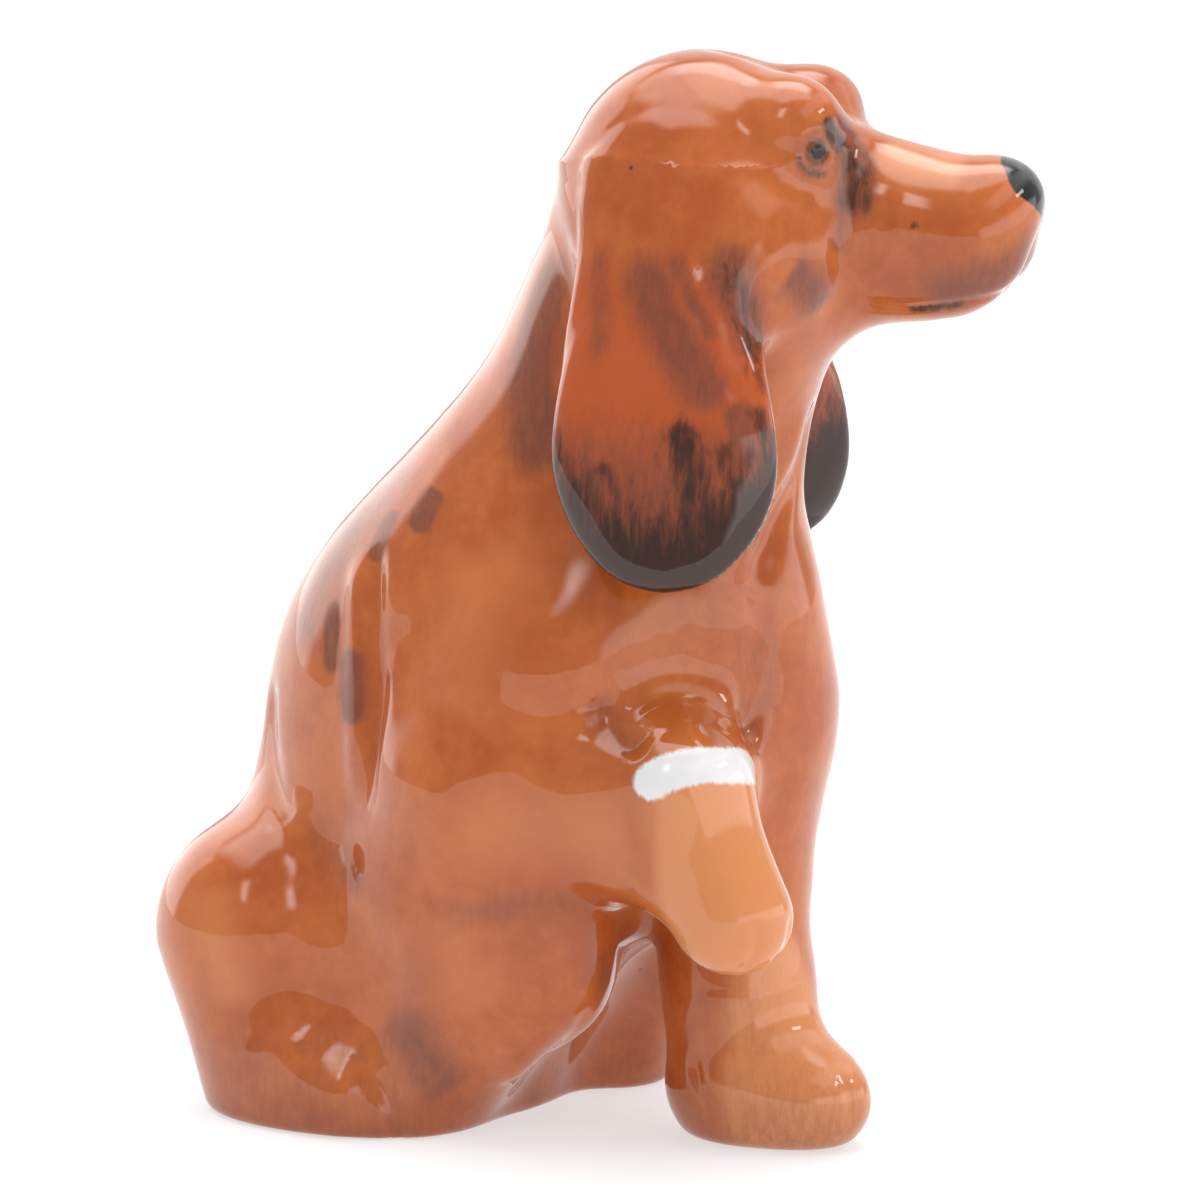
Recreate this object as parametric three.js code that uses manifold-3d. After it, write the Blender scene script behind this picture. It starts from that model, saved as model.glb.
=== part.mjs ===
// Seated spaniel figurine in glazed bone china, the right forepaw raised and hanging from a bent wrist.
//
// It is made as a pottery makes one: a hollow slip-cast trunk, and a head, ears, legs and tail that are
// cast on their own and luted on with slip. Each of those castings is one mesh.
//
// Lengths are in millimetres. Places are written [left, forward, up], seen from the dog: left is +X,
// forward is -Y and up is +Z, and up is 0 on the table.
import * as THREE from "three";
import { triTable } from "three/addons/objects/MarchingCubes.js";
import { mergeVertices, toCreasedNormals } from "three/addons/utils/BufferGeometryUtils.js";
import Module from "manifold-3d";

const wasm = await Module();
wasm.setup();

// ---- Driving dimensions -------------------------------------------------------------------------

const SEAM = 0.32; // slip joint between two castings
const WALL = 2.6; // thickness of the hollow trunk
const HOLLOW_TOP = 43; // where the hollow ends below the neck
const VENT_RADIUS = 1.5; // hole in the underside that lets the kiln's gases out
const VENT_PLACE = [0, -6, 0];

const HEAD_PLACE = [0, 13.3, 56.6]; // middle of the skull
const HEAD_YAW = 17; // degrees that the head turns to the dog's left
const HEAD_TILT = 0; // degrees that the nose lifts
const RIGHT_EAR_DROP = 14.6; // from the middle of the skull down to the middle of the ear's lobe
const LEFT_EAR_DROP = 16; // the left ear hangs a little lower, the dog's head being cocked

const BODY_FACET = 1.9; // size of the facets on the trunk and legs
const HEAD_FACET = 1.55; // on the head and ears
const SEAM_FACET = 1.9; // on the faces where two castings meet
const CAVITY_FACET = 3.8; // and inside the hollow

// Level rings up the trunk and neck: [up, middle (forward), half length, half width].
const BODY_RINGS = [
  [-4, -6.2, 8.2, 11],
  [0, -6.2, 8.2, 11],
  [6, -5.9, 10.7, 11.2],
  [12, -4.4, 14, 11.3],
  [18, -0.9, 16.8, 11.4],
  [24, 1.3, 17.8, 11.4],
  [30, 2.2, 17.1, 11.1],
  [35, 3.7, 15, 10.4],
  [40, 6, 12.4, 9],
  [46, 9.4, 10.6, 8],
  [52, 11.4, 9.6, 7.4],
  [57, 12.3, 8, 6.6],
];
const NECK_JOINT = 48; // height at which the head casting, which has the top of the neck, begins

// ---- Forms: functions that give the signed distance from a point to a shape, negative inside -----

const radians = THREE.MathUtils.degToRad;

// An ellipsoid, its radii given in the same order as its place.
function ball([cx, cy, cz], [rx, ry, rz]) {
  return ([x, y, z]) => {
    const [u, v, w] = [(x - cx) / rx, (y - cy) / ry, (z - cz) / rz];
    const scaled = Math.hypot(u, v, w);
    const steep = Math.hypot(u / rx, v / ry, w / rz);
    return steep < 1e-9 ? -Math.min(rx, ry, rz) : (scaled * (scaled - 1)) / steep;
  };
}

// A limb: two balls of radius ra and rb, with the straight cone that joins them.
function limb([ax, ay, az], ra, [bx, by, bz], rb) {
  const [dx, dy, dz] = [bx - ax, by - ay, bz - az];
  const length2 = dx * dx + dy * dy + dz * dz;
  return ([x, y, z]) => {
    const along = ((x - ax) * dx + (y - ay) * dy + (z - az) * dz) / length2;
    const t = Math.min(1, Math.max(0, along));
    return Math.hypot(x - ax - dx * t, y - ay - dy * t, z - az - dz * t) - (ra + (rb - ra) * t);
  };
}

// An upright form drawn through level rings, each an ellipse, kept between two heights.
function ringed(rings, low = rings[0][0], high = rings.at(-1)[0]) {
  const between = new THREE.CubicInterpolant(
    rings.map(([up]) => up),
    rings.flatMap(([, ...sizes]) => sizes),
    3,
  );
  return ([x, y, z]) => {
    const level = Math.min(rings.at(-1)[0], Math.max(rings[0][0], z));
    const [middle, long, wide] = between.evaluate(level);
    const round = ball([0, middle, 0], [wide, long, 1])([x, y, 0]);
    return Math.max(round, low - z, z - high);
  };
}

// Two forms that melt into each other over a distance of k.
function meltedPair(a, b, k) {
  const near = Math.max(0, k - Math.abs(a - b)) / k;
  return Math.min(a, b) - (near * near * k) / 4;
}
const melt = (k, ...forms) => (p) => forms.reduce((least, form) => meltedPair(least, form(p), k), 1e3);

// A form drawn in a frame of its own, put at a place, turned to the dog's left and tipped up.
function placed(place, turn, tilt, form) {
  const [ct, st] = [Math.cos(radians(turn)), Math.sin(radians(turn))];
  const [ci, si] = [Math.cos(radians(tilt)), Math.sin(radians(tilt))];
  return ([x, y, z]) => {
    const [a, b, c] = [x - place[0], y - place[1], z - place[2]];
    const left = a * ct - b * st;
    const ahead = a * st + b * ct;
    return form([left, ahead * ci + c * si, -ahead * si + c * ci]);
  };
}

const mirrored = ([left, forward, up]) => [-left, forward, up];
const pair = (k, place, radii) => melt(k, ball(place, radii), ball(mirrored(place), radii));

// ---- The dog's forms ----------------------------------------------------------------------------

function trunkFleshForm() {
  const shoulders = pair(3, [5.2, 7.6, 31], [5.6, 7.6, 9]);
  const breast = ball([0, 13.2, 27], [6, 6, 11]);
  return melt(3, shoulders, breast);
}

function headForm() {
  const skull = ball([0, -0.5, 0], [7.7, 7.9, 7.9]);
  const brows = pair(1, [3.2, 5.3, 3.9], [3, 2.9, 2.8]);
  const cheeks = pair(1, [4.6, 3.5, -3.5], [3.4, 4.8, 4.4]);
  const bridge = limb([0, 6, -0.4], 4.4, [0, 15.4, -1.5], 3.3);
  const flews = pair(1, [1.9, 12.8, -3.4], [2.7, 5, 3.8]);
  const jaw = limb([0, 4, -5.4], 4, [0, 14.4, -5], 2.7);
  const nose = ball([0, 17.2, -0.2], [2, 1.8, 1.7]);
  return placed(HEAD_PLACE, HEAD_YAW, HEAD_TILT, melt(2.5, skull, cheeks, brows, bridge, flews, jaw, nose));
}

function earForm(side, drop) {
  const root = limb([side * 6.2, -3, 2], 2.4, [side * 8, -1.5, -5], 2.4);
  const fold = limb([side * 6.5, 0.6, 0.2], 1.9, [side * 8.6, 1.4, -6], 1.9);
  const leaf = ball([side * 9.2, -1.2, -9], [1.7, 5.6, 9]);
  const lobe = ball([side * 9.8, -0.8, -drop], [2, 6.6, 7.6]);
  return placed(HEAD_PLACE, HEAD_YAW, HEAD_TILT, melt(2.4, root, fold, leaf, lobe));
}

function standingForelegForm() {
  const upper = limb([1, 12.2, 25], 7, [-0.4, 15.3, 9], 4);
  const pastern = limb([-0.4, 15.3, 9], 4, [-0.7, 15.7, 4], 4);
  const paw = ball([-0.8, 17.8, 2.8], [4.3, 6.3, 4.1]);
  return melt(2.5, upper, pastern, paw);
}

function raisedForelegForm() {
  const shoulder = limb([-7, 6.8, 28], 6, [-8.4, 3, 21], 5.6);
  const forearm = limb([-8.4, 3, 20.6], 5.4, [-9.2, 15.6, 23], 3.8);
  const paw = limb([-9.3, 16.8, 22], 3.6, [-9.7, 19.9, 15.2], 3.4);
  return melt(2, shoulder, forearm, paw);
}

function hindLegForm(side, advance) {
  const buttock = limb([side * 7.6, -13.2, 11], 6.7, [side * 7.6, -11, 0], 5.2);
  const thigh = ball([side * 8, 0.5, 12], [5.8, 10, 7.2]);
  const foot = ball([side * 9.5, -6.5 + advance, 2], [4.6, 6.5, 5.6]);
  const shin = limb([side * 7, 5, 10], 4, [side * 8, -2 + advance, 2], 3.5);
  return melt(3, buttock, thigh, foot, shin);
}

function tailForm() {
  return limb([0, -16, 12], 3.4, [0, -18.6, 7], 2.6);
}

// ---- The castings -------------------------------------------------------------------------------

const TAN = 0xc06a38;
const RED_BROWN = 0x9a4420;
const CASTINGS = [
  { name: "torso", form: melt(3, ringed(BODY_RINGS, -4, NECK_JOINT), trunkFleshForm()), glaze: TAN },
  { name: "head", form: melt(2, headForm(), ringed(BODY_RINGS, NECK_JOINT)), glaze: TAN },
  { name: "right_ear", form: earForm(-1, RIGHT_EAR_DROP), glaze: RED_BROWN },
  { name: "left_ear", form: earForm(1, LEFT_EAR_DROP), glaze: RED_BROWN },
  { name: "raised_foreleg", form: raisedForelegForm(), glaze: TAN },
  { name: "standing_foreleg", form: standingForelegForm(), glaze: TAN },
  { name: "right_hind_leg", form: hindLegForm(-1, 0), glaze: TAN },
  { name: "left_hind_leg", form: hindLegForm(1, 4), glaze: TAN },
  { name: "tail", form: tailForm(), glaze: TAN },
];
const FINE_CASTINGS = ["head", "right_ear", "left_ear"];

// The whole dog as the glaze covers it, its forms melted together.
const body = melt(
  3,
  ringed(BODY_RINGS),
  trunkFleshForm(),
  headForm(),
  standingForelegForm(),
  hindLegForm(-1, 0),
  hindLegForm(1, 4),
  tailForm(),
);
const wholeDog = melt(
  1.6,
  melt(2.5, body, raisedForelegForm()),
  earForm(-1, RIGHT_EAR_DROP),
  earForm(1, LEFT_EAR_DROP),
);

// How far a point is past the middle of the joint round a casting, whose share of the dog is what lies
// nearer to its own form than to any other.
function pastJoint(casting) {
  const rivals = CASTINGS.filter((other) => other !== casting).map((other) => other.form);
  const lead = (p) => casting.form(p) - Math.min(...rivals.map((form) => form(p)));
  const step = 0.2;
  return ([x, y, z]) => {
    const slope = Math.hypot(
      lead([x + step, y, z]) - lead([x - step, y, z]),
      lead([x, y + step, z]) - lead([x, y - step, z]),
      lead([x, y, z + step]) - lead([x, y, z - step]),
    );
    return lead([x, y, z]) / Math.max(0.5, slope / (2 * step));
  };
}

// ---- Meshing ------------------------------------------------------------------------------------

// The corners and edges of a cube, in the order that triTable counts them.
const CORNERS = [
  [0, 0, 0],
  [1, 0, 0],
  [1, 1, 0],
  [0, 1, 0],
  [0, 0, 1],
  [1, 0, 1],
  [1, 1, 1],
  [0, 1, 1],
];
const EDGES = [
  [0, 1],
  [1, 2],
  [3, 2],
  [0, 3],
  [4, 5],
  [5, 6],
  [7, 6],
  [4, 7],
  [0, 4],
  [1, 5],
  [2, 6],
  [3, 7],
];

// Facets a form by marching cubes inside a box, and turns left, forward, up into X, -Y, Z. The grid is
// one that every casting shares, so that neighbours have matching facets along their joint.
function faceted(form, facet, { min, max }) {
  const low = min.toArray().map((v) => facet * Math.floor(v / facet));
  const high = max.toArray();
  const count = low.map((v, axis) => Math.ceil((high[axis] - v) / facet) + 1);
  const at = (i, j, k) => i + count[0] * (j + count[1] * k);
  const values = new Float32Array(count[0] * count[1] * count[2]);
  const leastStep = 0.04 * facet; // keeps the surface off the grid's corners, where facets would vanish
  const onGrid = (visit) => {
    for (let k = 0; k < count[2]; k++)
      for (let j = 0; j < count[1]; j++) for (let i = 0; i < count[0]; i++) visit([i, j, k]);
  };
  onGrid((cell) => {
    const value = form(cell.map((n, axis) => low[axis] + n * facet));
    values[at(...cell)] = Math.abs(value) < leastStep ? Math.sign(value || 1) * leastStep : value;
  });

  const positions = [];
  onGrid((cell) => {
    if (cell.some((n, axis) => n === count[axis] - 1)) return;
    const corner = CORNERS.map((offset) => values[at(...offset.map((n, axis) => n + cell[axis]))]);
    const kind = corner.reduce((bits, value, n) => (value < 0 ? bits | (1 << n) : bits), 0);
    for (let t = 16 * kind; triTable[t] >= 0; t++) {
      const [a, b] = EDGES[triTable[t]];
      const part = corner[a] / (corner[a] - corner[b]);
      const [x, y, z] = cell.map((n, axis) => {
        const [from, to] = [CORNERS[a][axis], CORNERS[b][axis]];
        return low[axis] + facet * (n + from + part * (to - from));
      });
      positions.push(x, -y, z);
    }
  });
  const geometry = new THREE.BufferGeometry();
  geometry.setAttribute("position", new THREE.Float32BufferAttribute(positions, 3));
  return geometry;
}

function solidOf(geometry) {
  const bare = geometry.clone();
  bare.deleteAttribute("normal");
  bare.deleteAttribute("uv");
  const merged = mergeVertices(bare, 1e-4);
  return new wasm.Manifold(
    new wasm.Mesh({
      numProp: 3,
      vertProperties: new Float32Array(merged.attributes.position.array),
      triVerts: new Uint32Array(merged.index.array),
    }),
  );
}

function geometryOf(solid) {
  const { vertProperties, triVerts } = solid.getMesh();
  const geometry = new THREE.BufferGeometry();
  geometry.setAttribute("position", new THREE.BufferAttribute(vertProperties, 3));
  geometry.setIndex(new THREE.BufferAttribute(triVerts, 1));
  return toCreasedNormals(geometry, radians(50));
}

// The box round a form, found by stepping through the space the dog fills.
const DOG_SPACE = new THREE.Box3(new THREE.Vector3(-22, -28, -10), new THREE.Vector3(22, 38, 70));
function boxRound(form) {
  const step = 2;
  const box = new THREE.Box3();
  for (let z = DOG_SPACE.min.z; z < DOG_SPACE.max.z; z += step)
    for (let y = DOG_SPACE.min.y; y < DOG_SPACE.max.y; y += step)
      for (let x = DOG_SPACE.min.x; x < DOG_SPACE.max.x; x += step)
        if (form([x, y, z]) < step) box.expandByPoint(new THREE.Vector3(x, y, z));
  return box.expandByScalar(step);
}

const TABLE = solidOf(new THREE.BoxGeometry(120, 120, 40).translate(0, 0, -20));

// The casting's share of the dog: the skin near its form, trimmed to the joint.
function shareOf(casting) {
  const margin = 3.5; // how far past its own form the skin can belong to it
  const near = (p) => Math.max(wholeDog(p), casting.form(p) - margin);
  const past = pastJoint(casting);
  const trim = (p) => {
    const outside = near(p) - 1.5;
    return outside > 0 ? outside : Math.max(outside, past(p) + SEAM / 2);
  };
  const box = boxRound(near);
  const facet = FINE_CASTINGS.includes(casting.name) ? HEAD_FACET : BODY_FACET;
  const skin = solidOf(faceted(near, facet, box));
  const joint = solidOf(faceted(trim, SEAM_FACET, box.clone().expandByScalar(SEAM_FACET)));
  return skin.intersect(joint).subtract(TABLE);
}

// The trunk is cast hollow, and vented through its underside.
function hollowed(trunk) {
  const past = pastJoint(CASTINGS[0]);
  const inside = (p) => {
    const depth = wholeDog(p) + WALL;
    const up = p[2];
    return depth > 1 ? depth : Math.max(depth, past(p) + WALL, WALL - up, up - HOLLOW_TOP);
  };
  const cavity = solidOf(faceted(inside, CAVITY_FACET, boxRound(CASTINGS[0].form)));
  const vent = new THREE.CylinderGeometry(VENT_RADIUS, VENT_RADIUS, 2 * WALL + 2, 24)
    .rotateX(Math.PI / 2)
    .translate(VENT_PLACE[0], -VENT_PLACE[1], 0);
  return trunk.subtract(cavity).subtract(solidOf(vent));
}

function meshOf(casting, solid) {
  const material = new THREE.MeshStandardMaterial({ color: casting.glaze, roughness: 0.12, metalness: 0 });
  const mesh = new THREE.Mesh(geometryOf(solid), material);
  mesh.name = casting.name;
  return mesh;
}

// Where facets of the trunk's joints would touch a neighbour, the trunk gives way.
const [trunkShare, ...otherShares] = CASTINGS.map(shareOf);
const trunk = otherShares.reduce((rest, other) => rest.subtract(other), hollowed(trunkShare));

const figurine = new THREE.Group();
[trunk, ...otherShares].forEach((solid, n) => figurine.add(meshOf(CASTINGS[n], solid)));

// The dog stands on the origin, the middle of the box round it.
const middle = new THREE.Box3().setFromObject(figurine).getCenter(new THREE.Vector3());
figurine.position.set(-middle.x, -middle.y, 0);

export default figurine;
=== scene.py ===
"""Seated spaniel figurine in glazed china, right forepaw raised.

The skin is sculpted as one smooth form, in millimetres and in the dog's own directions
[left, forward, up]. It is then cut along the slip joints into one piece for each casting of
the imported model.
"""
import math

import bpy
import numpy as np
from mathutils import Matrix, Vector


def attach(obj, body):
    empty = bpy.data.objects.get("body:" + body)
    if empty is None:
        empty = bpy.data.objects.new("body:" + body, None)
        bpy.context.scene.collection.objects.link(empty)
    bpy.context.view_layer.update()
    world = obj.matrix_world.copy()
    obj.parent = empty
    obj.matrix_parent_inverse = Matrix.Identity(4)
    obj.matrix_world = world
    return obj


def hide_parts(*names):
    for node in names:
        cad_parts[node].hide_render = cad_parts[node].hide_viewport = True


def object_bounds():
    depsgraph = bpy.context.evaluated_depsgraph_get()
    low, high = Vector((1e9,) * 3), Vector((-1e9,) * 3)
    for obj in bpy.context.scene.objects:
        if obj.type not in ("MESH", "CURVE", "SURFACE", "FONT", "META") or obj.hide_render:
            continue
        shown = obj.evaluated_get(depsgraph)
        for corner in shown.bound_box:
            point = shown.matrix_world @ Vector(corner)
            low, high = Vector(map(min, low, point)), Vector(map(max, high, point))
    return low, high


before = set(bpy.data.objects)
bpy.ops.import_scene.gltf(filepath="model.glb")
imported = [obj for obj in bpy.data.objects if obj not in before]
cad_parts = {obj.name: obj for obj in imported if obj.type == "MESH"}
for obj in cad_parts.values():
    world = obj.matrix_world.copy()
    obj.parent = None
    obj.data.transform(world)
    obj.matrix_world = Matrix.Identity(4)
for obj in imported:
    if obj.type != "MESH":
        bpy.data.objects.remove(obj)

import openvdb
from mathutils import Vector

CAD_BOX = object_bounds()
MM = 0.001

# ---- Forms: signed distance from points (N x 3) to a shape, in millimetres, negative inside ------


def ball(place, radii):
    place, radii = np.array(place, float), np.array(radii, float)

    def distance(p):
        q = (p - place) / radii
        scaled = np.sqrt((q * q).sum(1))
        steep = np.sqrt(((q / radii) ** 2).sum(1))
        return scaled * (scaled - 1) / np.maximum(steep, 1e-9)

    return distance


def limb(a, ra, b, rb):
    a, b = np.array(a, float), np.array(b, float)
    along = b - a

    def distance(p):
        t = np.clip(((p - a) @ along) / (along @ along), 0, 1)
        gap = p - a - t[:, None] * along
        return np.sqrt((gap * gap).sum(1)) - (ra + (rb - ra) * t)

    return distance


def ringed(rings, low=None, high=None):
    """An upright form through level rings, with natural splines between them.

    A ring is (up, middle, half length, half width).
    """
    rings = np.array(rings, float)
    low = rings[0, 0] if low is None else low
    high = rings[-1, 0] if high is None else high
    knots = rings[:, 0]
    curves = [natural_spline(knots, rings[:, n]) for n in (1, 2, 3)]

    def distance(p):
        level = np.clip(p[:, 2], knots[0], knots[-1])
        middle, long, wide = [curve(level) for curve in curves]
        u, v = p[:, 0] / wide, (p[:, 1] - middle) / long
        scaled = np.hypot(u, v)
        steep = np.maximum(np.hypot(u / wide, v / long), 1e-9)
        return np.maximum.reduce([scaled * (scaled - 1) / steep, low - p[:, 2], p[:, 2] - high])

    return distance


def natural_spline(x, y):
    """The cubic through the points with no bend at its ends."""
    n = len(x)
    h = np.diff(x)
    a = np.zeros((n, n))
    r = np.zeros(n)
    a[0, 0] = a[-1, -1] = 1
    for i in range(1, n - 1):
        a[i, i - 1 : i + 2] = h[i - 1], 2 * (h[i - 1] + h[i]), h[i]
        r[i] = 6 * ((y[i + 1] - y[i]) / h[i] - (y[i] - y[i - 1]) / h[i - 1])
    m = np.linalg.solve(a, r)

    def value(t):
        i = np.clip(np.searchsorted(x, t) - 1, 0, n - 2)
        left, right = t - x[i], x[i + 1] - t
        return (
            (m[i] * right**3 + m[i + 1] * left**3) / (6 * h[i])
            + (y[i] / h[i] - m[i] * h[i] / 6) * right
            + (y[i + 1] / h[i] - m[i + 1] * h[i] / 6) * left
        )

    return value


def melted_pair(a, b, k):
    near = np.maximum(0, k - np.abs(a - b)) / k
    return np.minimum(a, b) - near * near * k / 4


def melt(k, *forms):
    def distance(p):
        least = forms[0](p)
        for form in forms[1:]:
            least = melted_pair(least, form(p), k)
        return least

    return distance


def head_places(p):
    """The dog's points in the head's own frame."""
    c, s = HEAD_TURN
    q = p - np.array(HEAD_PLACE, float)
    return np.stack([q[:, 0] * c - q[:, 1] * s, q[:, 0] * s + q[:, 1] * c, q[:, 2]], 1)


def pair(k, place, radii):
    left, forward, up = place
    return melt(k, ball(place, radii), ball((-left, forward, up), radii))


# ---- The dog's forms, as the castings have them ---------------------------------------------------

HEAD_PLACE = (0, 13.3, 56.6)
HEAD_YAW = math.radians(17)  # to the dog's left
HEAD_TURN = math.cos(HEAD_YAW), math.sin(HEAD_YAW)
NECK_JOINT = 48
# The ears lean into the skull above one height in the head's frame, and flare out below another.
EAR_LEAN, LEAN_FROM, LEAN_SPAN, LEAN_MOST, LEAN_POWER = 2.9, -13, 12, 1.2, 1.3
EAR_FLARE, FLARE_FROM, FLARE_MOST = 0.024, -11, 10.5
LEAN_BACK = 0.18
# How softly the ears join the rest: firm at the tips, softer over the height of the root.
EAR_MELT, ROOT_MELT, ROOT_SPAN = 1.4, 2.6, 11
RIGHT_EAR_DROP, LEFT_EAR_DROP = 14.6, 16
LEFT_THIGH_ADVANCE = 4
# (up, middle, half length, half width)
BODY_RINGS = [
    (-4, -6.2, 8.2, 11),
    (0, -6.2, 8.2, 11),
    (6, -5.9, 10.7, 11.2),
    (12, -4.4, 14, 11.3),
    (18, -0.9, 16.8, 11.4),
    (24, 1.3, 17.8, 11.4),
    (30, 2.2, 17.1, 11.1),
    (35, 3.7, 15, 10.4),
    (40, 6, 12.4, 9),
    (46, 9.4, 10.6, 8),
    (52, 11.4, 9.6, 7.4),
    (57, 12.3, 8, 6.6),
]


def trunk_flesh():
    shoulders = pair(3, (5.2, 7.6, 31), (5.6, 7.6, 9))
    breast = ball((0, 13.2, 27), (6, 6, 11))
    return melt(3, shoulders, breast)


def head_form():
    skull = ball((0, -0.5, 0), (7.7, 7.9, 7.9))
    brows = pair(1, (3.2, 5.3, 3.9), (3, 2.9, 2.8))
    cheeks = pair(1, (4.6, 3.5, -3.5), (3.4, 4.8, 4.4))
    bridge = limb((0, 6, -0.4), 4.4, (0, 15.4, -1.5), 3.3)
    flews = pair(1, (1.9, 13.3, -3.2), (2.7, 5.2, 3.7))
    jaw = limb((0, 4, -5.4), 4, (0, 13.9, -4.4), 2.3)
    nose = ball((0, 17.2, -0.2), (2, 1.8, 1.7))
    head = melt(2.5, skull, cheeks, brows, bridge, flews, jaw, nose)
    return lambda p: head(head_places(p))


def ear_form(side, drop):
    root = limb((side * 6.2, -3, 2), 2.2, (side * 8, -1.5, -5), 2.4)
    fold = limb((side * 6.5, 0.6, 0.2), 1.7, (side * 8.6, 1.4, -6), 1.9)
    leaf = ball((side * 9.2, -1.2, -9), (1.7, 5.6, 9))
    lobe = ball((side * 9.8, -0.8, -drop), (2, 6.6, 7.6))
    leather = melt(2.4, root, fold, leaf, lobe)

    def leaning(p):
        sunk = EAR_LEAN * np.clip((p[:, 2] - LEAN_FROM) / LEAN_SPAN, 0, LEAN_MOST) ** LEAN_POWER
        sunk -= EAR_FLARE * np.clip(FLARE_FROM - p[:, 2], 0, FLARE_MOST) ** 2
        return leather(p + sunk[:, None] * (side, LEAN_BACK, 0))

    return lambda p: leaning(head_places(p))


def standing_foreleg_form():
    upper = limb((1, 12.2, 25), 7, (-0.4, 15.3, 9), 4)
    pastern = limb((-0.4, 15.3, 9), 4, (-0.7, 15.7, 4), 4)
    paw = ball((-0.8, 17.8, 2.8), (4.3, 6.3, 4.1))
    return melt(2.5, upper, pastern, paw)


def raised_foreleg_form():
    shoulder = limb((-7, 6.8, 28), 6, (-8.4, 3, 21), 5.6)
    forearm = limb((-8.4, 3, 20.6), 5.4, (-9.2, 15.6, 23), 3.8)
    paw = limb((-9.3, 16.8, 22), 3.6, (-9.7, 19.9, 15.4), 3.5)
    web = limb((-9.0, 9.5, 19.4), 3.6, (-9.6, 15.4, 18.6), 3.2)
    return melt(2.6, shoulder, forearm, paw, web)


def hind_leg_form(side, advance):
    buttock = limb((side * 7.6, -13.2, 11), 6.7, (side * 7.6, -11, 0), 5.2)
    thigh = ball((side * 8, 0.5, 12), (5.8, 10, 7.2))
    foot = ball((side * 9.5, -6.5 + advance, 2), (4.6, 6.5, 5.6))
    shin = limb((side * 7, 5, 10), 4, (side * 8, -2 + advance, 2), 3.5)
    return melt(3, buttock, thigh, foot, shin)


def tail_form():
    return limb((0, -16, 12), 3.4, (0, -18.6, 7), 2.6)


CASTINGS = {
    "torso": melt(3, ringed(BODY_RINGS, -4, NECK_JOINT), trunk_flesh()),
    "head": melt(2, head_form(), ringed(BODY_RINGS, NECK_JOINT)),
    "right_ear": ear_form(-1, RIGHT_EAR_DROP),
    "left_ear": ear_form(1, LEFT_EAR_DROP),
    "raised_foreleg": raised_foreleg_form(),
    "standing_foreleg": standing_foreleg_form(),
    "right_hind_leg": hind_leg_form(-1, 0),
    "left_hind_leg": hind_leg_form(1, LEFT_THIGH_ADVANCE),
    "tail": tail_form(),
}

LIMBS = [CASTINGS[name] for name in ("standing_foreleg", "right_hind_leg", "left_hind_leg", "tail")]
body = melt(3, ringed(BODY_RINGS), trunk_flesh(), head_form(), *LIMBS)
trunk_and_arm = melt(3.6, body, CASTINGS["raised_foreleg"])
ears = melt(1, CASTINGS["right_ear"], CASTINGS["left_ear"])


def smooth_dog(p):
    """The whole skin. The ears grow softly out of the skull and hang clear lower down."""
    root = ease((p[:, 2] - HEAD_PLACE[2] + ROOT_SPAN) / ROOT_SPAN)
    return melted_pair(trunk_and_arm(p), ears(p), EAR_MELT + ROOT_MELT * root)


# ---- Relief: strokes of a modelling tool that stand out of the skin or press into it --------------


class Stroke:
    """A soft stroke along a smooth curve. Its strength is 1 on the curve and fades over its width.

    Its ends taper, unless it is blunt.
    """

    REACH = 2.6  # widths from the curve at which a stroke has faded away
    TAPER = 0.22  # share of the stroke's length that each end tapers over

    def __init__(self, width, *places, blunt=False):
        self.width, self.blunt = width, blunt
        self.curve = smoothed(np.array(places, float)) if len(places) > 1 else np.array(places, float)

    def strength(self, p):
        out = np.zeros(len(p))
        reach = self.REACH * self.width
        low, high = self.curve.min(0) - reach, self.curve.max(0) + reach
        near = np.flatnonzero(((p > low) & (p < high)).all(1))
        if len(near) == 0:
            return out
        q = p[near]
        best, part = np.full(len(q), 1e9), np.zeros(len(q))
        if len(self.curve) == 1:
            best = np.sqrt(((q - self.curve[0]) ** 2).sum(1))
        for n in range(len(self.curve) - 1):
            a, step = self.curve[n], self.curve[n + 1] - self.curve[n]
            t = np.clip(((q - a) @ step) / (step @ step), 0, 1)
            gap = np.sqrt(((q - a - t[:, None] * step) ** 2).sum(1))
            closer = gap < best
            best[closer] = gap[closer]
            part[closer] = (n + t[closer]) / (len(self.curve) - 1)
        value = np.exp(-((best / self.width) ** 2))
        if len(self.curve) > 1 and not self.blunt:
            value *= ease(part / self.TAPER) * ease((1 - part) / self.TAPER)
        out[near] = value
        return out


def ease(t):
    t = np.clip(t, 0, 1)
    return t * t * (3 - 2 * t)


def smoothed(places, between=6):
    """More places on the Catmull-Rom curve through these."""
    ends = np.vstack([2 * places[0] - places[1], places, 2 * places[-1] - places[-2]])
    found = [places[0]]
    for a, b, c, d in zip(ends, ends[1:], ends[2:], ends[3:]):
        for n in range(1, between + 1):
            t = n / between
            bend, twist = 2 * a - 5 * b + 4 * c - d, 3 * b - a - 3 * c + d
            found.append(0.5 * (2 * b + (c - a) * t + bend * t**2 + twist * t**3))
    return np.array(found)


def on_head(*places):
    """Places in the head's own frame, put into the dog's."""
    c, s = HEAD_TURN
    x, y, z = np.array(places, float).T
    return np.stack([x * c + y * s, -x * s + y * c, z], 1) + np.array(HEAD_PLACE)


def both_sides(*places):
    """The places on the head's right, as they are given, and their mirror places on its left."""
    return on_head(*places), on_head(*[(-x, y, z) for x, y, z in places])


EYES = [eye[0] for eye in both_sides((-5.7, 7.4, 2.7))]

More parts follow.
